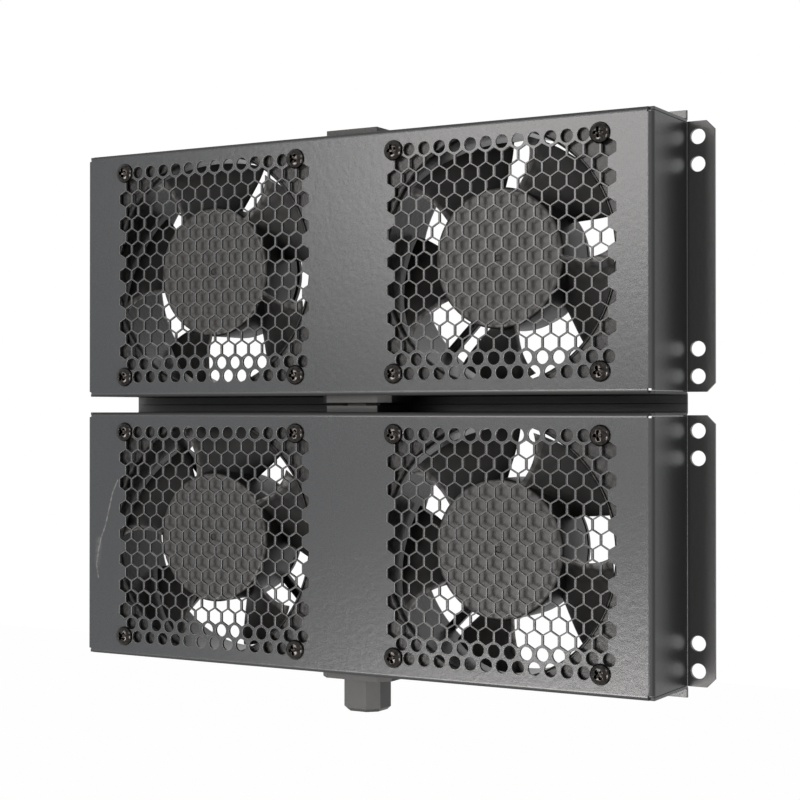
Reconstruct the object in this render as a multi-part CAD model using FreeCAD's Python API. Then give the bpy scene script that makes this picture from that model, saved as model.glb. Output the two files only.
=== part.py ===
import FreeCAD, Part
import math
import os

# Rack fan tray: two stacked 3U modules of folded sheet steel, each with two 120 mm
# axial fans behind a punched hexagonal grille.  Each module's plug seats in the
# socket of the module below it.
#
# Frame: millimetres, +X right, +Y to the rear, +Z up.  The origin is midway between
# the two modules, in the plane of the ears' rear faces, which bolt to the rack.

V = FreeCAD.Vector

# ---------------------------------------------------------------- driving dimensions
RACK_UNIT = 44.45

# Fans
FAN_SIZE = 120.0               # square frame
FAN_DEPTH = 38.0
FAN_FLANGE = 5.0               # thickness of the front and rear corner flanges
FAN_CORNER = 2.4               # the frame's four long corners are cut back this much
FAN_HOLE_INSET = 7.5           # screw centres from the frame's sides
DUCT_WALL = 2.2
BLADE_COUNT = 5
BLADE_SWEEP = 45.4             # degrees that a blade turns from its front edge to its rear
BLADE_THICKNESS = 2.6          # along the axis; about 1.2 square to the blade
BLADE_STRIPS = 5               # flat strips that make up a blade's curve
BLADE_TIP_GAP = 1.2            # tips to duct
BLADE_FRONT = 3.2              # front edge of a tip behind the fan's front face
BLADE_STRUT_GAP = 9.3          # rear edge of a tip in front of the struts
HUB_R = 32.5
HUB_FRONT = 3.0                # hub face behind the fan's front face
HUB_REAR_GAP = 4.0             # hub to motor plate
HUB_WALL = 4.0                 # cup and magnet ring together
HUB_FRONT_WALL = 4.0
SHAFT_R = 2.0
SHAFT_RECESS = 0.8             # from the hub's face to the shaft's front end
SHAFT_END_GAP = 0.8            # from the shaft's rear end to the motor plate
MOTOR_PLATE_R = 31.0
MOTOR_PLATE = 3.0
POLE_COUNT = 4
POLE_WIDTH = 24.0
AIR_GAP = 0.6                  # poles to the inside of the hub
STATOR_END_GAP = 2.0           # stator to the hub's front wall
STRUT_WIDTH = 4.4
STRUT_DEPTH = 4.0
STRUT_ANGLE = 45.0
TERMINAL_BLOCK = (4.0, 16.0, 12.0)   # off the duct, along the axis, along the duct's flat
TAB = (6.5, 2.8, 0.5)          # flat terminal tab: length, width, thickness
TAB_SPACING = 6.5

# Rest angle of each fan's first blade, degrees anticlockwise seen from the front
FANS = {
    "upper_left": (-1, 1, 27.9),
    "upper_right": (1, 1, -24.4),
    "lower_left": (-1, -1, 10.2),
    "lower_right": (1, -1, -27.9),
}

# Folded tray, round two fans
SHEET = 1.5                    # steel thickness
BEND_INSIDE_R = 0.6            # inside radius of every bend
CENTRE_BAY = 40.0              # free width between the fans
SIDE_BAY = 15.5                # free width between a fan and the side wall
FAN_HEADROOM = 1.1             # above and below the fans
REAR_SPACE = 4.0               # behind the fans, to the ears' rear faces
CORNER_RELIEF = 2.4            # square notch where two front bends would meet
SEAM = 0.4                     # open seam between a side wall and its neighbours
LIP_GAP = 0.2                  # between the rear lips of two stacked modules
EAR_WIDTH = 13.3               # ear beyond the side wall's outer face
EAR_END_INSET = 1.2            # ear is this much shorter than the face at each end
EAR_CHAMFER = 4.0
EAR_HOLE_R = 3.5
EAR_HOLE_INSET = 5.3           # hole centre beyond the side wall's outer face
EAR_HOLE_END = 7.05            # outer hole's centre from the ear's end
EAR_HOLE_PAIR = 12.5           # the two holes of a pair, centre to centre

# Grille
GRILLE_COLUMNS = 4             # hexagon pitches from the first column to the last
GRILLE_WEB = 2.6               # metal left between two hexagons

# Connectors between the modules
CONNECTOR_FROM_FRONT = 22.25   # connectors' middle behind the front face
SOCKET_FLANGE = (28.6, 29.9)   # along X and Y
SOCKET_FLANGE_THICKNESS = 3.3
CONNECTOR_BODY = 24.6          # square bodies through the walls
SOCKET_DEPTH = 17.5            # of the cavity, below the flange's face
SOCKET_FLOOR = 3.0
PLUG_FLANGE = (38.6, 29.9)
PLUG_FLANGE_CORNER = 5.0
PLUG_FLANGE_THICKNESS = 3.4
PLUG_SIZE = 20.4               # across the flats of the plug's octagonal nose
PLUG_CORNER = 5.1
PLUG_TIP_CHAMFER = 1.6
PLUG_BODY_DEPTH = 12.0
PIN_SIZE = 2.4                 # square contact pin
PIN_LENGTH = 9.0
PIN_SPACING = 6.4
SLEEVE_WALL = 0.6
SLEEVE_RECESS = 1.0            # sleeve's mouth inside the plug's tip
SLEEVE_DEPTH = 11.0
CONTACT_TAIL = 5.0

# Clearances
SEAT = 0.05                    # pressed and bonded seats, per side
SHAFT_CLEARANCE = 0.05         # shaft in its bearing, on the radius
CUTOUT_CLEARANCE = 0.2         # connector body in its cut-out, per side
PLUG_CLEARANCE = 0.3           # plug in its socket, per side
PLUG_TIP_CLEARANCE = 2.85      # plug's tip to the socket's floor
PIN_CLEARANCE = 0.1            # pin in its sleeve, per side

# ---------------------------------------------------------------- derived sizes
BEND_OUTSIDE_R = BEND_INSIDE_R + SHEET
FAN_SPACING = FAN_SIZE + CENTRE_BAY
FACE_WIDTH = FAN_SPACING + FAN_SIZE + 2 * (SIDE_BAY + SHEET)
FACE_HEIGHT = FAN_SIZE + 2 * (FAN_HEADROOM + SHEET)
HALF_WIDTH = FACE_WIDTH / 2
HALF_HEIGHT = FACE_HEIGHT / 2
MODULE_PITCH = RACK_UNIT * math.ceil(FACE_HEIGHT / RACK_UNIT)
MODULES = {"upper": MODULE_PITCH / 2, "lower": -MODULE_PITCH / 2}
LIP_REACH = (MODULE_PITCH - LIP_GAP) / 2
FRONT = -(SHEET + FAN_DEPTH + REAR_SPACE)
FAN_FRONT = FRONT + SHEET
FAN_REAR = FAN_FRONT + FAN_DEPTH
FAN_HOLE_PITCH = FAN_SIZE - 2 * FAN_HOLE_INSET
BORE_R = FAN_SIZE / 2 - DUCT_WALL
PLATE_FRONT = FAN_REAR - MOTOR_PLATE
STATOR_FRONT = FAN_FRONT + HUB_FRONT + HUB_FRONT_WALL + STATOR_END_GAP
HUB_FACE = FAN_FRONT + HUB_FRONT
HUB_REAR = PLATE_FRONT - HUB_REAR_GAP
BLADE_TIP_R = BORE_R - BLADE_TIP_GAP
TIP_FRONT = FAN_FRONT + BLADE_FRONT
TIP_REAR = FAN_REAR - STRUT_DEPTH - BLADE_STRUT_GAP
CONNECTOR_Y = FRONT + CONNECTOR_FROM_FRONT
PLUG_LENGTH = (MODULE_PITCH - FACE_HEIGHT - PLUG_FLANGE_THICKNESS - SOCKET_FLANGE_THICKNESS
               + SOCKET_DEPTH - PLUG_TIP_CLEARANCE)
OVERSHOOT = 1.0                # cutting tools run this far past what they cut


# ---------------------------------------------------------------- helpers
def block(x, y, z):
    """A box between two limits on each axis."""
    solid = Part.makeBox(x[1] - x[0], y[1] - y[0], z[1] - z[0])
    solid.translate(V(x[0], y[0], z[0]))
    return solid


def rod(radius, start, end, x=0.0, z=0.0):
    """A round bar along Y."""
    return Part.makeCylinder(radius, end - start, V(x, start, z), V(0, 1, 0))


def outline(start, *steps):
    """A closed face from points; a step is a point, or (point on arc, end of arc)."""
    edges = []
    here = start
    for step in steps + (start,):
        if isinstance(step, tuple):
            edges.append(Part.Arc(here, step[0], step[1]).toShape())
            here = step[1]
        elif step.distanceToPoint(here) > 1e-7:
            edges.append(Part.LineSegment(here, step).toShape())
            here = step
    return Part.Face(Part.Wire(edges))


def octagon_prism(size_x, size_y, corner, bottom, top):
    """A prism along Z, on the axis, with its four vertical corners cut at 45 degrees."""
    a, b = size_x / 2, size_y / 2
    corners = [(a, b - corner), (a - corner, b), (corner - a, b), (-a, b - corner),
               (-a, corner - b), (corner - a, -b), (a - corner, -b), (a, corner - b)]
    points = [V(x, y, bottom) for x, y in corners]
    return Part.Face(Part.makePolygon(points + points[:1])).extrude(V(0, 0, top - bottom))


def square_prism(size, corner, start, end):
    """A prism along Y, on the axis, with its four long corners cut at 45 degrees."""
    prism = octagon_prism(size, size, corner, -end, -start)
    prism.rotate(V(0, 0, 0), V(1, 0, 0), 90)
    return prism


def hexagon_prism(across_flats, start, end, x, z):
    """A prism along Y that stands on a point."""
    radius = across_flats / math.sqrt(3)
    angles = [math.radians(30 + 60 * i) for i in range(6)]
    points = [V(x + radius * math.cos(a), start, z + radius * math.sin(a)) for a in angles]
    return Part.Face(Part.makePolygon(points + points[:1])).extrude(V(0, end - start, 0))


def turned_about_y(shape, degrees):
    """A copy turned anticlockwise as seen from the front."""
    turned = shape.copy()
    turned.rotate(V(0, 0, 0), V(0, -1, 0), degrees)
    return turned


def moved(shape, x=0.0, y=0.0, z=0.0):
    copy = shape.copy()
    copy.translate(V(x, y, z))
    return copy


def mirrored(shape, normal):
    return shape.mirror(V(0, 0, 0), normal)


# ---------------------------------------------------------------- folded tray
def wall_profile(half_span, reach):
    """Section of one wall, from its front bend to its lip, in depth and height.

    The wall stands half_span from the axis and its lip reaches out to reach.
    """
    outer, inner = BEND_OUTSIDE_R, BEND_INSIDE_R
    s = math.sqrt(0.5)
    bend = V(0, FRONT + outer, half_span - outer)
    fold = V(0, -SHEET - inner, half_span + inner)
    return outline(
        V(0, FRONT, bend.z),
        (bend + V(0, -outer * s, outer * s), V(0, bend.y, half_span)),
        V(0, fold.y, half_span),
        (fold + V(0, inner * s, -inner * s), V(0, -SHEET, fold.z)),
        V(0, -SHEET, reach),
        V(0, 0, reach),
        V(0, 0, fold.z),
        (fold + V(0, outer * s, -outer * s), V(0, fold.y, half_span - SHEET)),
        V(0, bend.y, half_span - SHEET),
        (bend + V(0, -inner * s, inner * s), V(0, FRONT + SHEET, bend.z)),
    )


def top_wall():
    profile = moved(wall_profile(HALF_HEIGHT, LIP_REACH), x=-HALF_WIDTH)
    return profile.extrude(V(FACE_WIDTH, 0, 0))


def side_wall():
    """Right-hand wall with its ear, standing between the top and bottom walls."""
    half_wall = HALF_HEIGHT - SHEET - SEAM
    half_ear = HALF_HEIGHT - EAR_END_INSET
    profile = moved(wall_profile(HALF_WIDTH, HALF_WIDTH + EAR_WIDTH), x=-half_ear)
    wall = profile.extrude(V(2 * half_ear, 0, 0))
    wall.rotate(V(0, 0, 0), V(0, 1, 0), 90)
    for side in (-1, 1):
        spare = sorted((side * half_wall, side * (half_ear + OVERSHOOT)))
        wall = wall.cut(block((0, HALF_WIDTH), (FRONT - OVERSHOOT, OVERSHOOT), spare))
    tip = HALF_WIDTH + EAR_WIDTH
    for side in (-1, 1):
        corner = V(tip, -SHEET - OVERSHOOT, side * half_ear)
        points = [corner, corner - V(EAR_CHAMFER, 0, 0), corner - V(0, 0, side * EAR_CHAMFER)]
        face = Part.Face(Part.makePolygon(points + points[:1]))
        wall = wall.cut(face.extrude(V(0, SHEET + 2 * OVERSHOOT, 0)))
    for side in (-1, 1):
        for inward in (EAR_HOLE_END, EAR_HOLE_END + EAR_HOLE_PAIR):
            hole = rod(EAR_HOLE_R, -SHEET - OVERSHOOT, OVERSHOOT,
                       HALF_WIDTH + EAR_HOLE_INSET, side * (half_ear - inward))
            wall = wall.cut(hole)
    return wall


def grille_holes():
    """Hexagons in staggered rows, as one cutting tool, about a fan's centre."""
    pitch = FAN_HOLE_PITCH / GRILLE_COLUMNS
    rows = 2 * round(FAN_HOLE_PITCH / (pitch * math.sqrt(3)))
    holes = []
    for row in range(rows + 1):
        z = FAN_HOLE_PITCH * (0.5 - row / rows)
        ends = 1 if row in (0, rows) else 0.5 * (row % 2)
        for column in range(int(GRILLE_COLUMNS - 2 * ends) + 1):
            x = (ends + column) * pitch - FAN_HOLE_PITCH / 2
            holes.append(hexagon_prism(pitch - GRILLE_WEB, FRONT - OVERSHOOT,
                                       FRONT + SHEET + OVERSHOOT, x, z))
    return holes


def tray():
    """One module's tray, about the module's centre."""
    edge = BEND_OUTSIDE_R
    plate = block((edge - HALF_WIDTH, HALF_WIDTH - edge), (FRONT, FRONT + SHEET),
                  (edge - HALF_HEIGHT, HALF_HEIGHT - edge))
    walls = [top_wall(), mirrored(top_wall(), V(0, 0, 1)),
             side_wall(), mirrored(side_wall(), V(1, 0, 0))]
    holes = []
    for side in (-1, 1):
        holes += [moved(hole, x=side * FAN_SPACING / 2) for hole in grille_holes()]
    plate = plate.cut(Part.makeCompound(holes))
    shape = plate.fuse(walls).removeSplitter()
    for x in (-1, 1):
        for z in (-1, 1):
            notch_x = sorted((x * (HALF_WIDTH - CORNER_RELIEF), x * (HALF_WIDTH + OVERSHOOT)))
            notch_z = sorted((z * (HALF_HEIGHT - CORNER_RELIEF), z * (HALF_HEIGHT + OVERSHOOT)))
            shape = shape.cut(block(notch_x, (FRONT - OVERSHOOT, FRONT + CORNER_RELIEF), notch_z))
    half = CONNECTOR_BODY / 2 + CUTOUT_CLEARANCE
    for side in (-1, 1):
        height = sorted((side * (HALF_HEIGHT - SHEET - OVERSHOOT), side * (HALF_HEIGHT + OVERSHOOT)))
        shape = shape.cut(block((-half, half), (CONNECTOR_Y - half, CONNECTOR_Y + half), height))
    return shape


# ---------------------------------------------------------------- fan, about its own axis
def fan_frame():
    """Die-cast frame: duct, corner flanges, struts and motor plate."""
    flange = square_prism(FAN_SIZE, FAN_CORNER, FAN_FRONT, FAN_FRONT + FAN_FLANGE)
    rear_flange = moved(flange, y=FAN_DEPTH - FAN_FLANGE)
    duct_corner = FAN_SIZE - math.sqrt(2) * (BORE_R + DUCT_WALL)
    duct = square_prism(FAN_SIZE, duct_corner, FAN_FRONT, FAN_REAR)
    bore = rod(BORE_R, FAN_FRONT - OVERSHOOT, FAN_REAR + OVERSHOOT)
    shell = flange.fuse([duct, rear_flange]).cut(bore)
    strut = block((MOTOR_PLATE_R - STRUT_WIDTH, BORE_R + DUCT_WALL / 2),
                  (FAN_REAR - STRUT_DEPTH, FAN_REAR), (-STRUT_WIDTH / 2, STRUT_WIDTH / 2))
    struts = [turned_about_y(strut, STRUT_ANGLE + 90 * i) for i in range(4)]
    plate = rod(MOTOR_PLATE_R, PLATE_FRONT, FAN_REAR)
    return shell.fuse(struts + [plate]).removeSplitter()


def stator():
    """Laminated core on the motor plate: straight poles round the bore that the shaft runs in."""
    reach = math.sqrt((HUB_R - HUB_WALL - AIR_GAP) ** 2 - (POLE_WIDTH / 2) ** 2)
    pole = block((0, reach), (STATOR_FRONT, PLATE_FRONT), (-POLE_WIDTH / 2, POLE_WIDTH / 2))
    poles = [turned_about_y(pole, 360 / POLE_COUNT * i) for i in range(POLE_COUNT)]
    core = poles[0].fuse(poles[1:]).removeSplitter()
    return core.cut(rod(SHAFT_R + SHAFT_CLEARANCE, STATOR_FRONT - OVERSHOOT, PLATE_FRONT + OVERSHOOT))


def blade():
    """One blade in flat strips. Every crease would meet the fan's axis at one point, so each
    strip lies in a plane; front to rear the creases turn evenly about the axis."""
    apex = (TIP_FRONT + TIP_REAR) / 2
    root_r = HUB_R - HUB_WALL / 2
    tip_rise = TIP_REAR - TIP_FRONT - BLADE_THICKNESS

    def crease(step):
        """Ends of one crease at the root and at the tip, on the blade's front side."""
        share = step / BLADE_STRIPS - 0.5
        angle = math.radians(-BLADE_SWEEP * share)
        return [V(r * math.cos(angle), apex + tip_rise * share * r / BLADE_TIP_R - BLADE_THICKNESS / 2,
                  r * math.sin(angle)) for r in (root_r, BLADE_TIP_R)]

    creases = [crease(step) for step in range(BLADE_STRIPS + 1)]
    strips = []
    for first, second in zip(creases, creases[1:]):
        outline = Part.makePolygon(first + second[::-1] + first[:1])
        strips.append(Part.Face(outline).extrude(V(0, BLADE_THICKNESS, 0)))
    return strips[0].fuse(strips[1:]).removeSplitter()


def impeller():
    """Hub of the external-rotor motor, a cup open to the rear, with its blades."""
    cup = rod(HUB_R, HUB_FACE, HUB_REAR)
    blades = [turned_about_y(blade(), 360 / BLADE_COUNT * i) for i in range(BLADE_COUNT)]
    wheel = cup.fuse(blades)
    wheel = wheel.cut(rod(HUB_R - HUB_WALL, HUB_FACE + HUB_FRONT_WALL, HUB_REAR + OVERSHOOT))
    return wheel.cut(rod(SHAFT_R + SEAT, HUB_FACE - OVERSHOOT, HUB_REAR))


def shaft():
    return rod(SHAFT_R, HUB_FACE + SHAFT_RECESS, PLATE_FRONT - SHAFT_END_GAP)


def terminals():
    """Insulating block on a diagonal flat of the duct, and its two flat tabs."""
    height, length, width = TERMINAL_BLOCK
    reach, tab_width, thickness = TAB
    flat = BORE_R + DUCT_WALL
    middle = FAN_FRONT + FAN_DEPTH / 2
    base = block((flat, flat + height), (middle - length / 2, middle + length / 2),
                 (-width / 2, width / 2))
    tabs = []
    for y in (middle - TAB_SPACING / 2, middle + TAB_SPACING / 2):
        half = tab_width / 2
        tabs.append(block((flat + height / 2, flat + height + reach), (y - half, y + half),
                          (-thickness / 2, thickness / 2)))
        seat = half + SEAT
        base = base.cut(block((flat + height / 2, flat + height + OVERSHOOT),
                              (y - seat, y + seat), (-thickness / 2 - SEAT, thickness / 2 + SEAT)))
    return base, Part.makeCompound(tabs)


# ---------------------------------------------------------------- connectors
def contact_places():
    return [(i * PIN_SPACING, 0.0) for i in (-1, 0, 1)]


def socket_parts():
    """Socket housing and its pins; height zero is the wall's outer face."""
    top = SOCKET_FLANGE_THICKNESS
    floor = top - SOCKET_DEPTH
    width, depth = SOCKET_FLANGE
    half = CONNECTOR_BODY / 2
    housing = block((-width / 2, width / 2), (-depth / 2, depth / 2), (0, top))
    housing = housing.fuse(block((-half, half), (-half, half), (floor - SOCKET_FLOOR, 0)))
    mouth = PLUG_SIZE + 2 * PLUG_CLEARANCE
    housing = housing.cut(octagon_prism(mouth, mouth, PLUG_CORNER, floor, top + OVERSHOOT))
    pins = []
    for x, y in contact_places():
        across = PIN_SIZE / 2
        pins.append(block((x - across, x + across), (y - across, y + across),
                          (floor - SOCKET_FLOOR - CONTACT_TAIL, floor + PIN_LENGTH)))
        seat = across + SEAT
        housing = housing.cut(block((x - seat, x + seat), (y - seat, y + seat),
                                    (floor - SOCKET_FLOOR, floor)))
    return housing, Part.makeCompound(pins)


def plug_parts():
    """Plug housing and its sleeves; height zero is the wall's outer face, nose down."""
    nose_top = -PLUG_FLANGE_THICKNESS
    tip = nose_top - PLUG_LENGTH
    half = CONNECTOR_BODY / 2
    housing = octagon_prism(*PLUG_FLANGE, PLUG_FLANGE_CORNER, nose_top, 0)
    nose = octagon_prism(PLUG_SIZE, PLUG_SIZE, PLUG_CORNER, tip, nose_top)
    rim = [edge for edge in nose.Edges
           if max(abs(vertex.Z - tip) for vertex in edge.Vertexes) < 0.01]
    nose = nose.makeChamfer(PLUG_TIP_CHAMFER, rim)
    housing = housing.fuse([nose, block((-half, half), (-half, half), (0, PLUG_BODY_DEPTH))])
    sleeves = []
    for x, y in contact_places():
        inner = PIN_SIZE / 2 + PIN_CLEARANCE
        outer = inner + SLEEVE_WALL
        sleeve = block((x - outer, x + outer), (y - outer, y + outer),
                       (tip + SLEEVE_RECESS, PLUG_BODY_DEPTH + CONTACT_TAIL))
        sleeves.append(sleeve.cut(block((x - inner, x + inner), (y - inner, y + inner),
                                        (tip, tip + SLEEVE_RECESS + SLEEVE_DEPTH))))
        seat = outer + SEAT
        housing = housing.cut(block((x - seat, x + seat), (y - seat, y + seat),
                                    (tip - OVERSHOOT, PLUG_BODY_DEPTH + OVERSHOOT)))
    return housing, Part.makeCompound(sleeves)


# ---------------------------------------------------------------- assembly
def build():
    """Every node's shape, by name, in the object's frame."""
    nodes = {}
    one_tray = tray()
    socket, pins = socket_parts()
    plug, sleeves = plug_parts()
    for module, height in MODULES.items():
        nodes[module + "_tray"] = moved(one_tray, z=height)
        top, bottom = height + HALF_HEIGHT, height - HALF_HEIGHT
        nodes[module + "_socket"] = moved(socket, y=CONNECTOR_Y, z=top)
        nodes[module + "_socket_pins"] = moved(pins, y=CONNECTOR_Y, z=top)
        nodes[module + "_plug"] = moved(plug, y=CONNECTOR_Y, z=bottom)
        nodes[module + "_plug_sleeves"] = moved(sleeves, y=CONNECTOR_Y, z=bottom)
    frame, core, wheel, axle = fan_frame(), stator(), impeller(), shaft()
    terminal_base, tabs = terminals()
    for name, (side, level, rest_angle) in FANS.items():
        place = {"x": side * FAN_SPACING / 2, "z": level * MODULE_PITCH / 2}
        nodes[name + "_frame"] = moved(frame, **place)
        nodes[name + "_stator"] = moved(core, **place)
        nodes[name + "_impeller"] = moved(turned_about_y(wheel, rest_angle), **place)
        nodes[name + "_shaft"] = moved(axle, **place)
        towards_middle = -45 if side < 0 else -135
        nodes[name + "_terminal_block"] = moved(turned_about_y(terminal_base, towards_middle), **place)
        nodes[name + "_terminal_tabs"] = moved(turned_about_y(tabs, towards_middle), **place)
    return nodes


os.makedirs("parts", exist_ok=True)
for node_name, node_shape in build().items():
    node_shape.exportStep("parts/" + node_name + ".step")
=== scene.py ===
import math

import bmesh
import bpy
import numpy as np
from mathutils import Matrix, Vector
from mathutils.geometry import delaunay_2d_cdt


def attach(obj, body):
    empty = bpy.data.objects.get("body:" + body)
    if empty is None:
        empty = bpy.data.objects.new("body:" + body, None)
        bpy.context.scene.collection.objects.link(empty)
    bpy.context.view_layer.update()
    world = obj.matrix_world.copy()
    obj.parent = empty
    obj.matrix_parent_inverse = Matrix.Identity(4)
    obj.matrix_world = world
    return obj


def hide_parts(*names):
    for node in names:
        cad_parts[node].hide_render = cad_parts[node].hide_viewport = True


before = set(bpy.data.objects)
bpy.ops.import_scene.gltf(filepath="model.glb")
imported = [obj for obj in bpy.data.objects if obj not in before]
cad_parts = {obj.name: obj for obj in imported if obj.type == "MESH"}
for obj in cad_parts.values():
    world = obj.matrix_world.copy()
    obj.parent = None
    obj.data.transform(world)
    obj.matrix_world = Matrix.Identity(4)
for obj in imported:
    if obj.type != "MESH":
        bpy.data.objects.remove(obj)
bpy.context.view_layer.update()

# ---------------------------------------------------------------- camera
# A long lens held level with the gap between the two modules, thirty degrees round to the
# right of the fans' axes, so the side wall and the ear on that side show.
world_scene = bpy.context.scene
camera = bpy.data.objects.new("camera", bpy.data.cameras.new("camera"))
world_scene.collection.objects.link(camera)
camera.data.lens = 78.34
camera.data.sensor_width = 36
camera.location = (0.43704, -0.75162, -0.00354)
camera.rotation_euler = (math.radians(90.3735), 0, math.radians(29.832))
world_scene.camera = camera
world_scene.view_settings.view_transform = "Standard"

# ---------------------------------------------------------------- trays
# Each module is one blank of 1.5 mm steel: punched, folded back at four edges, with its
# side flaps folded out again as ears and its top and bottom flaps as narrow lips, then
# powder coated black with a fine texture.
MM = 0.001
FRONT = -43.5
SHEET = 1.5
BEND_R = 2.1                       # outside radius of each bend
FACE_HALF = np.array([157.0, 62.6])
EAR, LIP = 13.3, 4.075             # how far the flaps' ends reach past the face
EAR_HALF_LENGTH = 61.4
WALL_HALF_LENGTH = 61.0
RELIEF = 2.4                       # square notch at each front corner
EASE = 0.16                        # punched edges are eased by this much
EAR_CHAMFER = 4.0
EAR_STEP = 0.5                     # the ear's longer part starts this far before the bend
EAR_HOLE_R, EAR_HOLE_OUT = 3.5, 5.3                # radius, and centre past the side wall
EAR_HOLE_HEIGHTS = (-54.35, -41.85, 41.85, 54.35)
WINDOW_HALF = 12.5                 # connector windows, square, between two depths of the wall
WINDOW_FRONT, WINDOW_REAR = 9.75, 34.75
SCREW_SQUARE = 105.0               # side of the fan screws' square, which the punched field fills
SCREW_HOLE_R = 2.25
GRILLE_COLUMNS, GRILLE_ROWS = 13, 16               # steps from hole to hole across and down
HEXAGON, ROUND_R = 7.1, 3.1        # across the flats, and radius of the round holes
FAN_X = 80.0                       # fan axes either side of the middle
PITCH = 133.35
MODULES = {"upper": PITCH / 2, "lower": -PITCH / 2}

flat_half = FACE_HALF - BEND_R
allowance = math.pi / 2 * (BEND_R - SHEET / 2)
wall_length = -FRONT - 2 * BEND_R
FOLD_1, WALL_END = allowance, allowance + wall_length
FOLD_2 = WALL_END + allowance


def flap_path(along, sunk):
    """Outward reach and depth of a flap at a distance along the blank from the face's flat.

    A quarter turn back about an axis inside the sheet, a straight wall, a quarter turn out
    about an axis outside it, and a straight lip; sunk is 0 on the show face of the sheet
    and its thickness on the back.
    """
    inside = BEND_R - SHEET
    turn_1 = np.clip(along / allowance, 0, 1) * math.pi / 2
    turn_2 = np.clip((along - WALL_END) / allowance, 0, 1) * math.pi / 2
    wall = np.clip(along - FOLD_1, 0, wall_length)
    lip = np.clip(along - FOLD_2, 0, None)
    out_1 = (BEND_R - sunk) * np.sin(turn_1)
    deep_1 = BEND_R - (BEND_R - sunk) * np.cos(turn_1) + wall
    out_2 = (inside + sunk) * (1 - np.cos(turn_2)) + lip
    deep_2 = (inside + sunk) * np.sin(turn_2)
    return out_1 + out_2, deep_1 + deep_2


def fold(flat, sunk):
    """The blank's points carried to the folded tray: side flaps turn about Z, the rest about X."""
    past = np.abs(flat) - flat_half
    sideways = (past[:, 0] > 0) & (past[:, 1] < RELIEF - 0.05)
    upright = ~sideways & (past[:, 1] > 0)
    out, deep = flap_path(np.where(sideways, past[:, 0], past[:, 1]), sunk)
    x = np.where(sideways, np.sign(flat[:, 0]) * (flat_half[0] + out), flat[:, 0])
    z = np.where(upright, np.sign(flat[:, 1]) * (flat_half[1] + out), flat[:, 1])
    y = FRONT + np.where(sideways | upright, deep, sunk)
    return np.column_stack([x, y, z])


def regular_loop(centre, radius, sides, turn):
    """Corners of a regular polygon, evenly spaced on a circle."""
    angle = np.radians(turn) + 2 * math.pi * np.arange(sides) / sides
    return np.asarray(centre) + radius * np.column_stack([np.cos(angle), np.sin(angle)])


def inset_loop(loop, distance):
    """A closed outline moved to its left by a distance, with mitred corners."""
    ahead = np.roll(loop, -1, 0) - loop
    ahead /= np.linalg.norm(ahead, axis=1)[:, None]
    behind = np.roll(ahead, 1, 0)
    normal = np.column_stack([-ahead[:, 1] - behind[:, 1], ahead[:, 0] + behind[:, 0]])
    share = 1 + (ahead * behind).sum(1)
    return loop + distance * normal / share[:, None]


def inside(points, loops):
    """Even-odd test: a point is inside when a ray from it crosses the outlines an odd number of times."""
    start = np.concatenate(loops)
    end = np.concatenate([np.roll(loop, -1, 0) for loop in loops])
    slope = (end[:, 0] - start[:, 0]) / np.where(end[:, 1] == start[:, 1], 1, end[:, 1] - start[:, 1])
    odd = np.zeros(len(points), bool)
    for part in np.array_split(np.arange(len(points)), max(1, len(points) // 500)):
        x, y = points[part, 0][:, None], points[part, 1][:, None]
        crossed = ((start[:, 1] > y) != (end[:, 1] > y)) & (x < start[:, 0] + slope * (y - start[:, 1]))
        odd[part] = crossed.sum(1) % 2 == 1
    return odd


def make_piece(name, points, faces, body, finish):
    """A mesh object from points in millimetres; faces is a list of arrays, one row a face."""
    mesh = bpy.data.meshes.new(name)
    mesh.from_pydata((np.asarray(points) * MM).tolist(), [], [f for rows in faces for f in rows.tolist()])
    piece = bpy.data.objects.new(name, mesh)
    world_scene.collection.objects.link(piece)
    mesh.materials.append(finish)
    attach(piece, body)
    return piece


def cut_sheet(loops, thickness, ease, place, folds=()):
    """Points and faces of a plate cut along outlines, with eased edges, carried by place().

    The outer outline runs anticlockwise and the holes clockwise, so that the metal lies to
    the left of each. Both faces share one triangulation, and each outline gets three bands
    of quads: ease, wall, ease.
    """
    eased = [inset_loop(loop, ease) for loop in loops]
    flat = np.concatenate(eased)
    firsts = np.cumsum([0] + [len(loop) for loop in loops])
    borders = [np.column_stack([np.arange(a, b), np.roll(np.arange(a, b), -1)])
               for a, b in zip(firsts[:-1], firsts[1:])]
    edges = np.concatenate(borders)
    for axis, value, limit in folds:
        on_line = np.flatnonzero((np.abs(flat[:, axis] - value) < 1e-6)
                                 & (np.abs(flat[:, 1 - axis]) < limit))
        ends = on_line[np.argsort(flat[on_line, 1 - axis])][[0, -1]]
        edges = np.concatenate([edges, ends[None]])
    found, _, triangles, *_ = delaunay_2d_cdt([Vector(p) for p in flat.tolist()], edges.tolist(), [], 0, 1e-7)
    found = np.array([tuple(p) for p in found])
    triangles = np.array(triangles)
    corner = found[triangles]
    kept = inside(corner.mean(1), eased)
    one, two = corner[:, 1] - corner[:, 0], corner[:, 2] - corner[:, 0]
    doubled = one[:, 0] * two[:, 1] - one[:, 1] * two[:, 0]
    kept &= np.abs(doubled) > 1e-7
    triangles = np.where((doubled < 0)[:, None], triangles[:, ::-1], triangles)[kept]
    outline = np.concatenate(loops)
    sunk = np.full(len(outline), ease)
    walls = [place(outline, sunk), place(outline, thickness - sunk)]
    count, extra = len(flat), len(found)
    front, back = place(found, np.zeros(extra)), place(found, np.full(extra, thickness))
    points = np.concatenate(walls + [front, back])
    start = edges[:firsts[-1], 0], edges[:firsts[-1], 1]
    outer, inner, top, under = 0, count, 2 * count, 2 * count + extra
    bands = [np.column_stack([start[0] + a, start[0] + b, start[1] + b, start[1] + a])
             for a, b in ((top, outer), (outer, inner), (inner, under))]
    return points, [triangles + top, triangles[:, ::-1] + under] + bands


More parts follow.
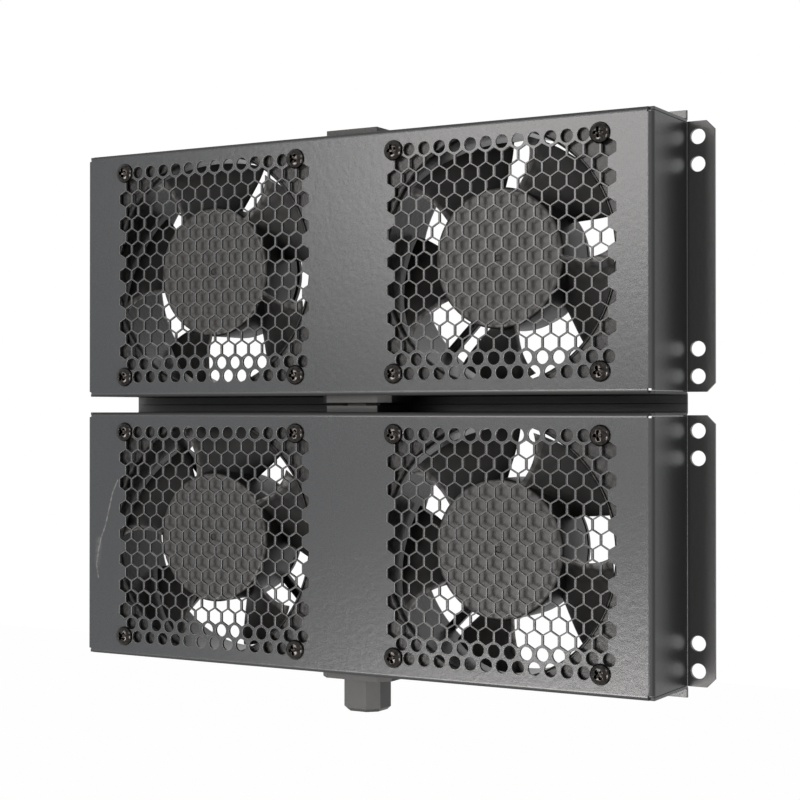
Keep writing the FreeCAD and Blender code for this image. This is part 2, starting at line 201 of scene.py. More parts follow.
def lattice(centre_x):
    """One fan's punched field as clockwise loops.

    Every other row is shifted by half a column. The top row and the two bottom rows are round,
    and the first and last rows leave out their end holes, where the screws are.
    """
    column, row = SCREW_SQUARE / GRILLE_COLUMNS, SCREW_SQUARE / GRILLE_ROWS
    holes = []
    for j in range(GRILLE_ROWS + 1):
        end_row = j in (0, GRILLE_ROWS)
        first = 1 if end_row else 0.5 * (j % 2)
        last = GRILLE_COLUMNS + 0.51 - (first if end_row else 0)
        for x in np.arange(first, last, 1) * column - SCREW_SQUARE / 2:
            place = (centre_x + x, SCREW_SQUARE / 2 - j * row)
            if end_row or j == GRILLE_ROWS - 1:
                holes.append(regular_loop(place, ROUND_R, 16, 0)[::-1])
            else:
                holes.append(regular_loop(place, HEXAGON / math.sqrt(3), 6, 90)[::-1])
    return holes


steps = np.linspace(0, allowance, 7)
side_run = np.concatenate([steps, WALL_END + steps])
ear_tip = FOLD_2 + EAR - (BEND_R - SHEET)
lip_tip = FOLD_2 + LIP - (BEND_R - SHEET)
relief_edge = flat_half[1] + BEND_R - RELIEF
side_profile = np.array(
    [(BEND_R - RELIEF, relief_edge)] + [(s, relief_edge) for s in side_run if s < RELIEF]
    + [(RELIEF, relief_edge), (RELIEF, WALL_HALF_LENGTH),
       (WALL_END - EAR_STEP, WALL_HALF_LENGTH), (WALL_END - EAR_STEP, EAR_HALF_LENGTH)]
    + [(s, EAR_HALF_LENGTH) for s in side_run if s >= WALL_END]
    + [(ear_tip - EAR_CHAMFER, EAR_HALF_LENGTH), (ear_tip, EAR_HALF_LENGTH - EAR_CHAMFER)])
relief_side = flat_half[0] + BEND_R - RELIEF
top_profile = np.array(
    [(s, relief_side) for s in side_run if s < RELIEF]
    + [(RELIEF, relief_side), (RELIEF, FACE_HALF[0])]
    + [(s, FACE_HALF[0]) for s in side_run if s >= WALL_END] + [(lip_tip, FACE_HALF[0])])
right_top = np.column_stack([flat_half[0] + side_profile[:, 0], side_profile[:, 1]])[::-1]
top_right = np.column_stack([top_profile[:, 1], flat_half[1] + top_profile[:, 0]])
quarter = np.concatenate([right_top, top_right])
blank = np.concatenate([quarter, (quarter * [-1, 1])[::-1], quarter * [-1, -1], (quarter * [1, -1])[::-1]])

cuts = lattice(-FAN_X) + lattice(FAN_X)
for fan_x in (-FAN_X, FAN_X):
    for x in (-SCREW_SQUARE / 2, SCREW_SQUARE / 2):
        for z in (-SCREW_SQUARE / 2, SCREW_SQUARE / 2):
            cuts.append(regular_loop((fan_x + x, z), SCREW_HOLE_R, 20, 0)[::-1])
for side in (-1, 1):
    for height in EAR_HOLE_HEIGHTS:
        hole_at = (side * (flat_half[0] + FOLD_2 + EAR_HOLE_OUT - (BEND_R - SHEET)), height)
        cuts.append(regular_loop(hole_at, EAR_HOLE_R, 32, 0)[::-1])
    low, high = [depth - BEND_R + FOLD_1 for depth in (WINDOW_FRONT, WINDOW_REAR)]
    window = np.array([(-WINDOW_HALF, low), (-WINDOW_HALF, high), (WINDOW_HALF, high), (WINDOW_HALF, low)])
    window = window + [0, flat_half[1]]
    cuts.append(window if side > 0 else (window * [1, -1])[::-1])

side_fold_reach, end_fold_reach = 62, 160      # each fold line ends within this of the middle
fold_lines = []
for s in side_run:
    for side in (-1, 1):
        fold_lines.append((0, side * (flat_half[0] + s), side_fold_reach))
        fold_lines.append((1, side * (flat_half[1] + s), end_fold_reach))
tray_points, tray_faces = cut_sheet([blank] + cuts, SHEET, EASE, fold, fold_lines)


class Channel:
    """A shader socket in arithmetic: each operator adds its Math node to the same finish."""

    def __init__(self, finish, socket):
        self.finish, self.socket = finish, socket

    def math(self, operation, *others):
        values = dict(enumerate((self,) + others))
        return self.finish.node("ShaderNodeMath", {"operation": operation}, values)

    def __add__(self, other):
        return self.math("ADD", other)

    def __sub__(self, other):
        return self.math("SUBTRACT", other)

    def __rsub__(self, other):
        return (self * -1) + other

    def __mul__(self, other):
        return self.math("MULTIPLY", other)

    def __truediv__(self, other):
        return self.math("DIVIDE", other)

    __radd__ = __add__
    __rmul__ = __mul__

    def least(self, floor):
        """The value, but never under a floor."""
        return self.math("MAXIMUM", floor)

    def between(self, low, high):
        """0 below low, 1 above high, and a straight ramp in between."""
        return self.finish.node("ShaderNodeMapRange", {}, {0: self, 1: low, 2: high})


class Finish:
    """A material in the making: node() adds a node, and fixed shader values stay on the shader."""

    def __init__(self, name, **fixed):
        self.material = bpy.data.materials.new(name)
        self.material.use_nodes = True
        self.tree = self.material.node_tree
        self.shader = self.tree.nodes["Principled BSDF"]
        for label, value in fixed.items():
            self.shader.inputs[label.replace("_", " ")].default_value = value
        self.place = self.node("ShaderNodeTexCoord", {}, {}, "Object")

    def node(self, kind, settings, values, output=0):
        """Any node: its settings first, then its sockets' values or links; returns one output."""
        node = self.tree.nodes.new(kind)
        for label, value in settings.items():
            setattr(node, label, value)
        self.feed(node, values)
        return Channel(self, node.outputs[output])

    def feed(self, node, values):
        for label, value in values.items():
            if isinstance(value, Channel):
                self.tree.links.new(value.socket, node.inputs[label])
            else:
                node.inputs[label].default_value = value

    def split(self, vector):
        """The three numbers of a vector."""
        parts = self.tree.nodes.new("ShaderNodeSeparateXYZ")
        self.feed(parts, {0: vector})
        return [Channel(self, socket) for socket in parts.outputs]

    def scaled(self, x, y, z):
        """Object coordinates stretched along each axis."""
        return self.node("ShaderNodeMapping", {"vector_type": "POINT"}, {0: self.place, 3: (x, y, z)})

    def noise(self, size, detail=2.0, rough=0.5, at=None):
        """Noise whose features are about size millimetres across, from 0 to 1."""
        values = {"Vector": at or self.place, "Scale": 1000 / size, "Detail": detail, "Roughness": rough}
        return self.node("ShaderNodeTexNoise", {}, values)

    def blend(self, factor, first, second):
        """One colour into another."""
        values = {0: factor, 6: first, 7: second}
        return self.node("ShaderNodeMix", {"data_type": "RGBA"}, values, 2)

    def relief(self, height, depth):
        """Surface relief whose height of 1 stands depth millimetres proud."""
        values = {"Height": height, "Distance": depth * MM, "Strength": 1.0}
        self.feed(self.shader, {"Normal": self.node("ShaderNodeBump", {}, values)})

    def paint(self, **values):
        self.feed(self.shader, {label.replace("_", " "): value for label, value in values.items()})
        return self.material


def grey(level, warmth=0.0):
    """A colour of one brightness, warmer above zero and cooler below."""
    return (level * (1 + warmth), level, level * (1 - warmth), 1)


# Each pair says where a patch of painted shade or painted light on the coat begins and where it is full.
JOINT_EDGE = (5.5, 4.2)            # distance up or down from the joint between the modules
OVER_BEND = (60.8, 61.6)           # distance up or down from the module's middle
ROUND_CORNER = (155.2, 156.2)      # distance sideways from the middle, as in the last two
BEND_DEPTH = (-40.0, -41.5)        # both bends' depth
ON_SIDE = (156.3, 156.8)
ON_EAR = (157.6, 158.6)


def coat_finish(name, middle, marks=()):
    """Fine-textured powder coat; each mark is a rubbed line through (x, z) points, with its half width.

    The coat carries painted shade, darker and duller, in the joint between the modules, over the
    bends and on the side walls, and painted light on the ears, a lighter grey of their own. A mark's
    strength falls from its middle line: 1 minus the distance to the line over the half width, where
    the distance is to the nearest of its straight runs.
    """
    coat = Finish(name, IOR=1.5)
    x, y, z = [part * 1000 for part in coat.split(coat.place)]
    outwards = x.math("ABSOLUTE")
    speckle = coat.noise(0.55, 3, 0.6)
    cloud = coat.noise(38, 2)
    flow = coat.noise(2.6, 2)
    tone = coat.blend(speckle.between(0.35, 0.65), grey(0.018, -0.12), grey(0.037, -0.06))
    tone = coat.blend(cloud.between(0.3, 0.7) * 0.35, tone, grey(0.022, -0.10))
    rough = 0.205 + speckle * 0.08 + cloud * 0.02
    # Painted shade: the coat in the joint between the modules is darker, and duller too.
    joint_shade = z.math("ABSOLUTE").between(*JOINT_EDGE)
    rough = rough + joint_shade * 0.25
    tone = coat.blend(joint_shade * 0.4, tone, grey(0.012))
    # Painted shade over the front bends, at the top, bottom and sides of each module.
    bend_shade = (z - middle).math("ABSOLUTE").between(*OVER_BEND)
    bend_shade = bend_shade.math("MAXIMUM", outwards.between(*ROUND_CORNER)) * y.between(*BEND_DEPTH)
    rough = rough + bend_shade * 0.4
    tone = coat.blend(bend_shade * 0.8, tone, grey(0.010))
    # Painted shade: the side walls are darker and a little duller.
    side_shade = outwards.between(*ON_SIDE)
    rough = rough + side_shade * 0.09
    tone = coat.blend(side_shade * 0.8, tone, grey(0.006, -0.03))
    # Painted light: the ears get a lighter grey of their own.
    ear_light = outwards.between(*ON_EAR)
    tone = coat.blend(ear_light, tone, coat.blend(speckle, grey(0.022), grey(0.038)))
    for half_width, strength, line in marks:
        rubbed = None
        for (x1, z1), (x2, z2) in zip(line, line[1:]):
            length = math.hypot(x2 - x1, z2 - z1)
            u, v = (x2 - x1) / length, (z2 - z1) / length
            along = (x - x1) * u + (z - z1) * v
            beyond = (along - length).least(0) + (0 - along).least(0)
            across = ((x - x1) * v - (z - z1) * u).math("ABSOLUTE")
            near = 1 - (across + beyond) / half_width
            rubbed = near.least(0) if rubbed is None else rubbed.math("MAXIMUM", near)
        broken = coat.noise(1.7, 3, 0.7).between(0.28, 0.62)
        rubbed = rubbed * broken * strength
        tone = coat.blend(rubbed, tone, grey(0.30))
        rough = rough + rubbed * 0.12
    coat.relief(speckle * 0.5 + flow * 1.1, 0.048)
    return coat.paint(Base_Color=tone, Roughness=rough)


scratch = [(-137.1, -39.0), (-140.6, -45.7), (-143.4, -56.1), (-145.5, -63.4), (-148.3, -69.6),
           (-149.8, -75.8), (-151.2, -83.1), (-149.8, -89.9)]
scuff = [(-149.4, -70.0), (-150.6, -83.0)]
rubbed_marks = [(0.6, 0.42, scratch), (2.4, 0.16, scuff)]      # half width, strength, line
coats = {"upper": coat_finish("powder_coat", PITCH / 2),
         "lower": coat_finish("scratched_powder_coat", -PITCH / 2, rubbed_marks)}

# Painted highlight: the eased front edges of the punched holes get a lighter grey, standing in for light
# caught on their rounding.
edge_highlight = Finish("painted_edge_highlight", IOR=1.5)
edge_mottle = edge_highlight.noise(1.2, 3, 0.6)
tone = edge_highlight.blend(edge_mottle.between(0.35, 0.7), grey(0.08, 0.02), grey(0.20, 0.02))
edge_highlight_coat = edge_highlight.paint(Base_Color=tone, Roughness=0.26 + edge_mottle * 0.1)
first_band = len(tray_faces[0]) * 2        # the bands of quads follow both triangulated faces
show_edges = np.arange(first_band + len(blank), first_band + len(tray_faces[2]))

for module, height in MODULES.items():
    tray = make_piece(module + "_punched_tray", tray_points + [0, 0, height], tray_faces,
                      "housing", coats[module])
    tray.data.materials.append(edge_highlight_coat)
    slots = np.zeros(len(tray.data.polygons), np.int32)
    slots[show_edges] = 1
    tray.data.polygons.foreach_set("material_index", slots)
    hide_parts(module + "_tray")

# ---------------------------------------------------------------- fan frames
# Die-cast aluminium frames of 120 mm axial fans, painted black: a square flange at each
# end of a round duct, and four struts that carry the motor plate behind the blades.
FAN_FRONT = FRONT + SHEET
FAN_DEPTH = 38.0
FLANGE, FLANGE_SUNK = 5.0, 1.0      # the front flange lies a little behind the duct's lip
FAN_HALF, FAN_CORNER = 59.95, 4.0
BORE, FLARE = 58.2, 59.5
FLANGE_HOLE_R, FLANGE_EASE = 2.15, 0.12
FLANGE_BORE = FLARE + 0.05          # just outside the duct's lip
SCREW_HALF = SCREW_SQUARE / 2
STRUT_START = 30.0
STRUT_WIDTH, STRUT_DEEP, STRUT_ROUND = 4.4, 4.0, 1.0
FANS = {"upper_left": (-FAN_X, PITCH / 2), "upper_right": (FAN_X, PITCH / 2),
        "lower_left": (-FAN_X, -PITCH / 2), "lower_right": (FAN_X, -PITCH / 2)}


def faced_out(points, faces):
    """The same closed surface with its faces outwards: the volume under them is then positive."""
    volume = 0
    for rows in faces:
        for third in range(2, rows.shape[1]):
            a, b, c = (points[rows[:, k]] for k in (0, third - 1, third))
            volume += np.einsum("ij,ij->", a, np.cross(b, c))
    return points, faces if volume > 0 else [rows[:, ::-1] for rows in faces]


def gathered(shells):
    """Several closed surfaces as one list of points and faces."""
    offsets = np.cumsum([0] + [len(points) for points, _ in shells])
    faces = [rows + start for (_, many), start in zip(shells, offsets) for rows in many]
    return np.concatenate([points for points, _ in shells]), faces


def turned(profile, spokes=96, looped=False):
    """Surface of revolution: each (radius, depth) of the profile is carried round the fan's axis.

    A point at radius 0 is a single pole; a looped profile closes on its first point.
    """
    profile = np.asarray(profile, float)
    angle = 2 * math.pi * np.arange(spokes) / spokes
    radius, depth = profile[:, :1], profile[:, 1:]
    grid = np.stack([radius * np.cos(angle), depth + 0 * angle, radius * np.sin(angle)], -1)
    index = np.arange(grid.shape[0] * spokes).reshape(-1, spokes)
    index[profile[:, 0] == 0] = index[profile[:, 0] == 0][:, :1]
    here, there = (index, np.roll(index, -1, 0)) if looped else (index[:-1], index[1:])
    quads = np.stack([here, there, np.roll(there, -1, 1), np.roll(here, -1, 1)], -1).reshape(-1, 4)
    first_pole, second_pole = quads[:, 0] == quads[:, 3], quads[:, 1] == quads[:, 2]
    faces = [quads[~first_pole & ~second_pole], quads[first_pole][:, :3], quads[second_pole][:, [0, 1, 3]]]
    used, renamed = np.unique(np.concatenate([f.ravel() for f in faces]), return_inverse=True)
    ends = np.cumsum([f.size for f in faces])[:-1]
    faces = [part.reshape(f.shape) for part, f in zip(np.split(renamed, ends), faces)]
    return faced_out(grid.reshape(-1, 3)[used], [f for f in faces if len(f)])


def skinned(sections):
    """Closed bar from sections of an even number of points: quads between them, and ends ladder-closed.

    sections is (stations, points, 3); an end's rungs join each point to the one across from it.
    """
    stations, count = sections.shape[:2]
    index = np.arange(stations * count).reshape(stations, count)
    here, there = index[:-1], index[1:]
    around = np.stack([here, there, np.roll(there, -1, 1), np.roll(here, -1, 1)], -1).reshape(-1, 4)
    rung = np.arange(count // 2 - 1)
    ladder = np.column_stack([rung, rung + 1, count - 2 - rung, count - 1 - rung])
    return faced_out(sections.reshape(-1, 3), [around, index[0][ladder], index[-1][ladder[:, ::-1]]])


def rounded_square(half, corner, steps):
    """Anticlockwise outline of a square whose corners are quarter circles."""
    angle = np.radians(np.linspace(0, 90, steps))
    arc = (half - corner) + corner * np.column_stack([np.cos(angle), np.sin(angle)])
    swap = arc[::-1]
    return np.concatenate([arc, swap * [-1, 1], arc * [-1, -1], swap * [1, -1]])


def flange(start, thickness):
    """A flat square ring with four screw holes, standing on a depth."""
    loops = [rounded_square(FAN_HALF, FAN_CORNER, 7), regular_loop((0, 0), FLANGE_BORE, 144, 0)[::-1]]
    for x in (-SCREW_HALF, SCREW_HALF):
        for z in (-SCREW_HALF, SCREW_HALF):
            loops.append(regular_loop((x, z), FLANGE_HOLE_R, 24, 0)[::-1])
    return cut_sheet(loops, thickness, FLANGE_EASE,
                     lambda flat, sunk: np.column_stack([flat[:, 0], start + sunk, flat[:, 1]]))


duct = turned([(FLARE, 0.05), (58.9, 0.5), (58.45, 1.2), (BORE, 2.4), (BORE, 35.6), (58.45, 36.8),
               (58.9, 37.5), (FLARE, 37.95), (FLARE + 0.35, 37.95), (FLARE + 0.35, 0.05)], 144, True)
motor_plate = turned([(0, 37.4), (2.6, 37.4), (3.2, 37.8), (5.6, 38.0), (6.2, 37.8), (6.6, 37.3),
                      (25.6, 37.3), (26.2, 37.8), (26.8, 38.0), (30.2, 38.0), (30.8, 37.8), (31.0, 37.2),
                      (31.0, 35.4), (30.7, 35.0), (0, 35.0)])
quarter_turn = np.radians(np.linspace(0, 90, 5))
corner_arc = STRUT_ROUND * np.column_stack([np.cos(quarter_turn), np.sin(quarter_turn)])
corner_arc += [STRUT_WIDTH / 2 - STRUT_ROUND, STRUT_DEEP / 2 - STRUT_ROUND]
section = np.concatenate([corner_arc, corner_arc[::-1] * [-1, 1], corner_arc * [-1, -1],
                          corner_arc[::-1] * [1, -1]])
struts = []
for turn in np.radians([45, 135, 225, 315]):
    out, over = np.array([math.cos(turn), 0, math.sin(turn)]), np.array([-math.sin(turn), 0, math.cos(turn)])
    wide, deep = section[:, :1], section[:, 1:] + FAN_DEPTH - STRUT_DEEP / 2
    bar = [reach * out + wide * over + deep * np.array([0, 1, 0]) for reach in (STRUT_START, BORE + 0.6)]
    struts.append(skinned(np.array(bar)))
frame_shells = [(points + [0, FAN_FRONT, 0], faces) for points, faces in [duct, motor_plate] + struts]
frame_points, frame_faces = gathered(frame_shells + [flange(FAN_FRONT + FLANGE_SUNK, FLANGE - FLANGE_SUNK),
                                                     flange(FAN_FRONT + FAN_DEPTH - FLANGE, FLANGE)])

casting = Finish("painted_casting", IOR=1.36)
brushed = casting.noise(1.8, 3, 0.6, casting.scaled(1.0, 1.0, 0.6))
grain = casting.noise(0.7, 2)
tone = casting.blend(brushed.between(0.42, 0.66), grey(0.002, 0.02), grey(0.022, 0.03))
casting.relief(brushed * 1.2 + grain * 0.4, 0.12)
painted_casting = casting.paint(Base_Color=tone, Roughness=0.21 + grain * 0.10 + brushed * 0.12)

for fan, (fan_x, fan_z) in FANS.items():
    piece = make_piece(fan + "_cast_frame", frame_points + [fan_x, 0, fan_z], frame_faces,
                       "housing", painted_casting)
    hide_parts(fan + "_frame")

# ---------------------------------------------------------------- impellers
# Five twisted blades on the steel cup of an external-rotor motor, welded on and painted
# black with it. The cup's face is plain but for a dimple over the shaft.
HUB_FACE = 3.0
BLADES = 5
BLADE_TIP = 56.52
BLADE_ROOT = 31.6
MID_R = 45.0
LEADING, TRAILING = (2.91, -0.029, -0.005), (25.35, 0.128, -0.0011)    # depth by radius past MID_R
PITCH_TURN, PITCH_CHANGE = 2.074, 0.0062               # degrees per millimetre of depth
LEAN, LEAN_CHANGE = 0.026, -0.0137                     # degrees per millimetre of radius
BLADE_HALF, BLADE_THINNING = 0.85, 0.62                # half thickness, and its loss to the rear
NOSE_RATE, TAIL_RATE = 14, 30                          # how soon the thickness is reached and lost
EDGE_HALF = 0.03
REST = {"upper_left": 27.64, "upper_right": -25.27, "lower_left": 9.93, "lower_right": -28.71}


def blade_skin(first_angle):
    """One blade as sections at rising radii.

    Depth runs from the leading to the trailing edge; the angle about the axis falls evenly with
    depth, and a little with radius. Half of the thickness stands off each side along the middle
    surface's normal: it grows quickly behind the round leading edge and thins to the trailing one.
    """
    radius = np.linspace(BLADE_ROOT, BLADE_TIP, 16)[:, None]
    share = (1 - np.cos(math.pi * np.linspace(0, 1, 21)))[None] / 2
    past = radius - MID_R
    lead, trail = [a + b * past + c * past ** 2 for a, b, c in (LEADING, TRAILING)]

    def middle(radius, past, share):
        depth = lead + (trail - lead) * share
        turn = (PITCH_TURN + PITCH_CHANGE * past) * (depth - (LEADING[0] + TRAILING[0]) / 2)
        turn = turn + LEAN * past + LEAN_CHANGE * past ** 2
        angle = np.radians(first_angle - turn)
        return np.stack([radius * np.cos(angle), depth + 0 * angle, radius * np.sin(angle)], -1)

    sheet = middle(radius, past, share)
    across = np.gradient(sheet, axis=1)
    outwards = np.gradient(sheet, axis=0)
    normal = np.cross(across, outwards)
    normal /= np.linalg.norm(normal, axis=2)[:, :, None]
    nose = (share * NOSE_RATE).clip(0, 1) ** 0.5
    tail = ((1 - share) * TAIL_RATE).clip(0, 1) ** 0.5
    half = BLADE_HALF * nose * (1 - BLADE_THINNING * share) * tail
    half = (half + EDGE_HALF)[:, :, None]
    front, back = sheet + half * normal, sheet - half * normal
    return skinned(np.concatenate([front, back[:, ::-1]], axis=1))


hub = turned([(0, 3.65), (1.3, 3.65), (1.5, 3.15), (1.7, HUB_FACE), (1.9, HUB_FACE), (30.7, HUB_FACE),
              (30.9, HUB_FACE), (31.7, 3.2), (32.25, 3.7), (32.5, 4.5), (32.5, 30.4), (32.2, 31.0),
              (28.8, 31.0), (28.5, 30.6), (28.5, 7.0), (2.05, 7.0), (2.05, 3.75), (0, 3.75)], 120)

enamel = Finish("rotor_enamel", IOR=1.4)
orange_peel = enamel.noise(1.3, 2)
dust = enamel.noise(9, 4, 0.6)
_, y, _ = enamel.split(enamel.place)
# Painted light: the cup's face gets a lighter, glossier grey than the blades, and the dimple over the shaft
# keeps the blades' darker grey as painted shade.
lit_hub_face = (y * 1000 - (FAN_FRONT + HUB_FACE)).between(0.5, 0.25)     # 1 at the cup's face
tone = enamel.blend(dust.between(0.35, 0.75) * 0.6, grey(0.004, 0.06), grey(0.010, 0.08))
tone = enamel.blend(lit_hub_face, tone, grey(0.038, 0.04))
enamel.relief(orange_peel, 0.04)
rotor_enamel = enamel.paint(Base_Color=tone, Roughness=0.40 + dust * 0.2 - lit_hub_face * 0.08)


def smoothed(piece, degrees):
    """Smooth shading, but for edges sharper than an angle."""
    for polygon in piece.data.polygons:
        polygon.use_smooth = True
    piece.data.set_sharp_from_angle(angle=math.radians(degrees))


for fan, (fan_x, fan_z) in FANS.items():
    shells = [hub] + [blade_skin(REST[fan] + 360 / BLADES * i) for i in range(BLADES)]
    points, faces = gathered(shells)
    piece = make_piece(fan + "_fan_wheel", points + [fan_x, FAN_FRONT, fan_z], faces,
                       fan + "_rotor", rotor_enamel)
    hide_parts(fan + "_impeller")
    smoothed(piece, 40)

# ---------------------------------------------------------------- motors and shafts
# Behind each hub, a laminated steel core with straight poles stands on the motor plate,
# and a ground steel shaft runs in its bore.
laminated = Finish("laminations", Metallic=1.0)
_, depth, _ = laminated.split(laminated.place)
layers = (depth * 9000).math("SINE").between(-0.2, 0.8)
stain = laminated.noise(6, 3)
tone = laminated.blend(layers * 0.6 + stain * 0.4, grey(0.16, 0.08), grey(0.42, 0.03))
laminated.relief(layers, 0.05)
laminations = laminated.paint(Base_Color=tone, Roughness=0.42 + stain * 0.2)

ground = Finish("ground_steel", Metallic=1.0)
lathe_lines = ground.noise(0.25, 2, 0.5, ground.scaled(0.2, 4.0, 0.2))
tone = ground.blend(lathe_lines, grey(0.38, 0.01), grey(0.58, 0.0))
ground_steel = ground.paint(Base_Color=tone, Roughness=0.22 + lathe_lines * 0.15)


def finish_node(node, material):
    """A modelled part that is shown as it is gets its finish."""
    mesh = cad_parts[node].data
    mesh.materials.clear()
    mesh.materials.append(material)


for fan in FANS:
    finish_node(fan + "_stator", laminations)
    finish_node(fan + "_shaft", ground_steel)

# ---------------------------------------------------------------- connectors
# A moulded plug below and a moulded socket above each module join it to the next one, each
# clipped into a square window in the wall. Their contacts are plated brass.
resin = Finish("moulded_resin", IOR=1.46)
fine = resin.noise(0.4, 2)
bloom = resin.noise(14, 3)
tone = resin.blend(bloom.between(0.3, 0.75), grey(0.011, 0.0), grey(0.023, 0.02))
resin.relief(fine + bloom * 0.4, 0.03)
moulded_resin = resin.paint(Base_Color=tone, Roughness=0.4 + fine * 0.12)

plated = Finish("plated_brass", Metallic=1.0)
tarnish = plated.noise(1.4, 3)
tone = plated.blend(tarnish, (0.72, 0.55, 0.26, 1), (0.56, 0.44, 0.24, 1))
plated_brass = plated.paint(Base_Color=tone, Roughness=0.24 + tarnish * 0.2)


def eased_copy(node, name, radius, material):
    """The part's own mesh, merged and dissolved to clean faces, with its edges rounded."""
    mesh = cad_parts[node].data.copy()
    solid = bmesh.new()
    solid.from_mesh(mesh)
    bmesh.ops.remove_doubles(solid, verts=solid.verts[:], dist=1e-6)
    bmesh.ops.dissolve_limit(solid, angle_limit=math.radians(1), verts=solid.verts[:], edges=solid.edges[:])
    solid.to_mesh(mesh)
    solid.free()
    piece = bpy.data.objects.new(name, mesh)
    world_scene.collection.objects.link(piece)
    mesh.materials.clear()
    mesh.materials.append(material)
    rounding = piece.modifiers.new("rounding", "BEVEL")
    rounding.width = radius * MM
    rounding.segments = 2
    rounding.limit_method = "ANGLE"
    rounding.angle_limit = math.radians(30)
    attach(piece, "housing")
    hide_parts(node)


for module in MODULES:
    eased_copy(module + "_plug", module + "_moulded_plug", 0.35, moulded_resin)
    eased_copy(module + "_socket", module + "_moulded_socket", 0.35, moulded_resin)
    finish_node(module + "_socket_pins", plated_brass)
    finish_node(module + "_plug_sleeves", plated_brass)
for fan in FANS:
    eased_copy(fan + "_terminal_block", fan + "_moulded_terminals", 0.3, moulded_resin)
    finish_node(fan + "_terminal_tabs", plated_brass)

# ---------------------------------------------------------------- fan screws
# Sixteen pan-head machine screws with cross recesses, in dark nickel plate: four pass
# through the sheet into each fan's front flange.
HEAD_R, HEAD_HIGH, HEAD_POWER = 4.9, 2.9, 2.6
THREAD_R, THREAD_LONG, THREAD_CHAMFER = 2.0, 9.0, 0.6
CROSS_HALF, CROSS_REACH, CROSS_DEEP = 0.62, 2.45, 2.2
FLANK, TAPER, RISE = 0.22, 0.7, 0.25       # the recess's sloping sides and ends, and its rising floor
DOME_FOOT = 0.5                            # the recess leaves the head alone below this height
INNER_R, RIM_FROM = 3.0, 0.76              # close rings within a radius, then rings from an angle
SCREW_TURNS = [8, 52, 47, 14, 10, 4, 50, 24, 44, 38, 47, 12, 24, 3, 20, 36]


def screw_skin(turn):
    """Pan head, underside and shank as one turned surface, its top lowered by the recess.

    The dome's height is a superellipse of the radius. The recess is the deeper of two crossed
    grooves, each as deep as its flanks and its rising floor allow.
    """
    outer = HEAD_R * np.sin(np.linspace(RIM_FROM, math.pi / 2, 12))
    radius = np.concatenate([np.linspace(0, INNER_R, 25), outer])
    dome = HEAD_HIGH * (1 - (radius / HEAD_R) ** HEAD_POWER).clip(0) ** 0.5
    profile = np.column_stack([radius, -dome])
    shank = [(THREAD_R, 0), (THREAD_R, THREAD_LONG - THREAD_CHAMFER),
             (THREAD_R - THREAD_CHAMFER, THREAD_LONG), (0, THREAD_LONG)]
    profile = np.concatenate([profile, shank])
    points, faces = turned(profile, 64)
    angle = math.radians(turn)
    u = points[:, 0] * math.cos(angle) + points[:, 2] * math.sin(angle)
    v = points[:, 2] * math.cos(angle) - points[:, 0] * math.sin(angle)

    def groove(along, across):
        flank = ((CROSS_HALF - np.abs(across)) / FLANK + 0.5).clip(0, 1)
        end = ((CROSS_REACH - np.abs(along)) / TAPER).clip(0, 1)
        return flank * (end * (1 - RISE * np.abs(along) / CROSS_REACH))

    sunk = CROSS_DEEP * np.maximum(groove(u, v), groove(v, u))
    points[:, 1] += np.where(points[:, 1] < -DOME_FOOT, sunk, 0)
    return points, faces


nickel = Finish("dark_nickel", Metallic=1.0)
patch = nickel.noise(1.1, 3, 0.6)
tone = nickel.blend(patch.between(0.3, 0.7), (0.014, 0.013, 0.012, 1), (0.052, 0.048, 0.045, 1))
nickel.relief(patch, 0.02)
dark_nickel = nickel.paint(Base_Color=tone, Roughness=0.12 + patch * 0.10)

turns = iter(SCREW_TURNS)
for fan, (fan_x, fan_z) in FANS.items():
    for corner, (side, level) in {"top_left": (-1, 1), "top_right": (1, 1),
                                  "bottom_left": (-1, -1), "bottom_right": (1, -1)}.items():
        points, faces = screw_skin(next(turns))
        place = [fan_x + side * SCREW_HALF, FRONT, fan_z + level * SCREW_HALF]
        piece = make_piece(fan + "_screw_" + corner, points + place, faces,
                           "housing", dark_nickel)
        smoothed(piece, 50)

# ---------------------------------------------------------------- floor, backdrop and lamps
# A plain white floor well below the hanging trays and a white backdrop, with broad soft
# lamps: two at the left front, above and below, and three smaller ones at the right.
FLOOR_Z = -1.1


class Sky(Finish):
    """The same node helper on a world's tree."""

    def __init__(self, world):
        world.use_nodes = True
        self.tree = world.node_tree


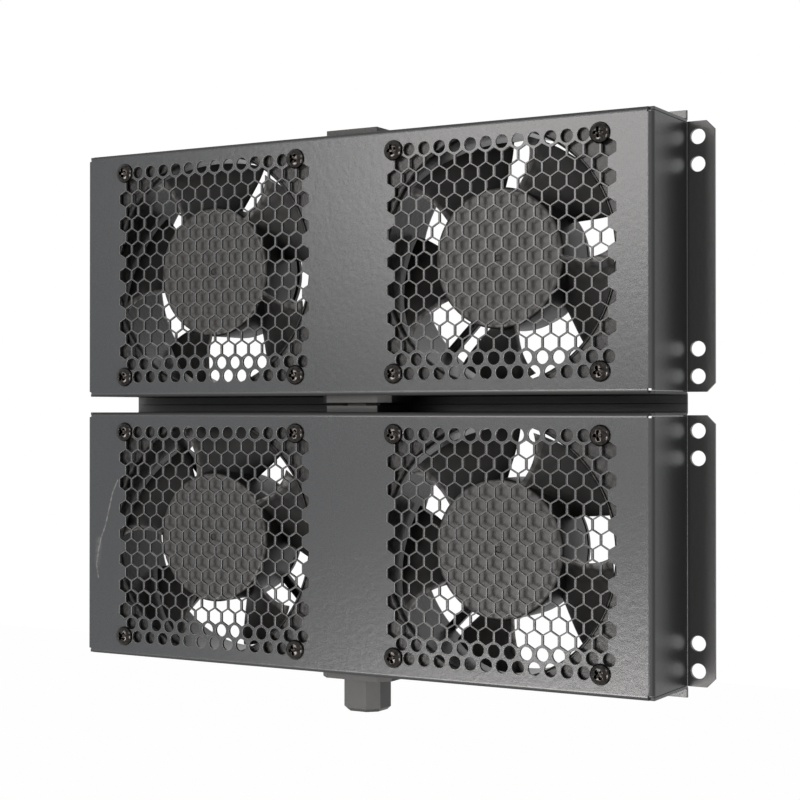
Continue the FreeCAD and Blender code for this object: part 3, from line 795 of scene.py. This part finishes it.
def seen_white(finish):
    """1 for rays from the camera, a mirror or a glass, which see the plain white."""
    path = finish.tree.nodes.new("ShaderNodeLightPath")
    names = ("Is Camera", "Is Glossy", "Is Transmission")
    rays = [Channel(finish, path.outputs[name + " Ray"]) for name in names]
    return rays[0].math("MAXIMUM", rays[1]).math("MAXIMUM", rays[2])


floor_mesh = bpy.data.meshes.new("floor")
corners = np.array([(-1, -1), (1, -1), (1, 1), (-1, 1)]) * 6.0
floor_mesh.from_pydata([(x, y, FLOOR_Z) for x, y in corners.tolist()], [], [(0, 1, 2, 3)])
floor = bpy.data.objects.new("floor", floor_mesh)
world_scene.collection.objects.link(floor)
pale = Finish("pale_floor", Roughness=0.9, Base_Color=(0.8, 0.8, 0.8, 1))
glow = pale.node("ShaderNodeEmission", {}, {"Color": (1, 1, 1, 1), "Strength": 1.0})
floor_look = pale.node("ShaderNodeMixShader", {},
                       {0: seen_white(pale) * 0.985, 1: Channel(pale, pale.shader.outputs[0]), 2: glow})
pale.feed(pale.tree.nodes["Material Output"], {"Surface": floor_look})
floor_mesh.materials.append(pale.material)

studio = bpy.data.worlds.new("studio")
world_scene.world = studio
sky = Sky(studio)
sky.feed(sky.tree.nodes["Background"], {"Color": (1, 1, 1, 1), "Strength": 0.32 + seen_white(sky) * 0.68})


def lamp(name, place, aim, size, power):
    """A rectangular soft lamp facing a point, a shade warmer than the sky."""
    light = bpy.data.lights.new(name, "AREA")
    light.shape = "RECTANGLE"
    light.size, light.size_y = size
    light.energy = power
    light.color = (1.0, 0.965, 0.945)
    holder = bpy.data.objects.new(name, light)
    holder.location = place
    holder.rotation_euler = (Vector(aim) - Vector(place)).to_track_quat("-Z", "Y").to_euler()
    world_scene.collection.objects.link(holder)


lamp("left_upper", (-0.56, -1.60, 0.47), (0, 0, 0.05), (0.75, 0.6), 13)
lamp("left_lower", (-0.52, -1.60, -0.71), (0, 0, -0.05), (0.75, 0.6), 24)
lamp("right_upper", (1.45, -0.75, 0.85), (0, 0, 0.0), (0.4, 0.4), 5)
lamp("right_lower", (1.45, -0.75, -0.85), (0, 0, 0.0), (0.4, 0.4), 5)
lamp("right_middle", (1.40, -0.86, -0.42), (0, 0, -0.1), (0.35, 0.35), 9)
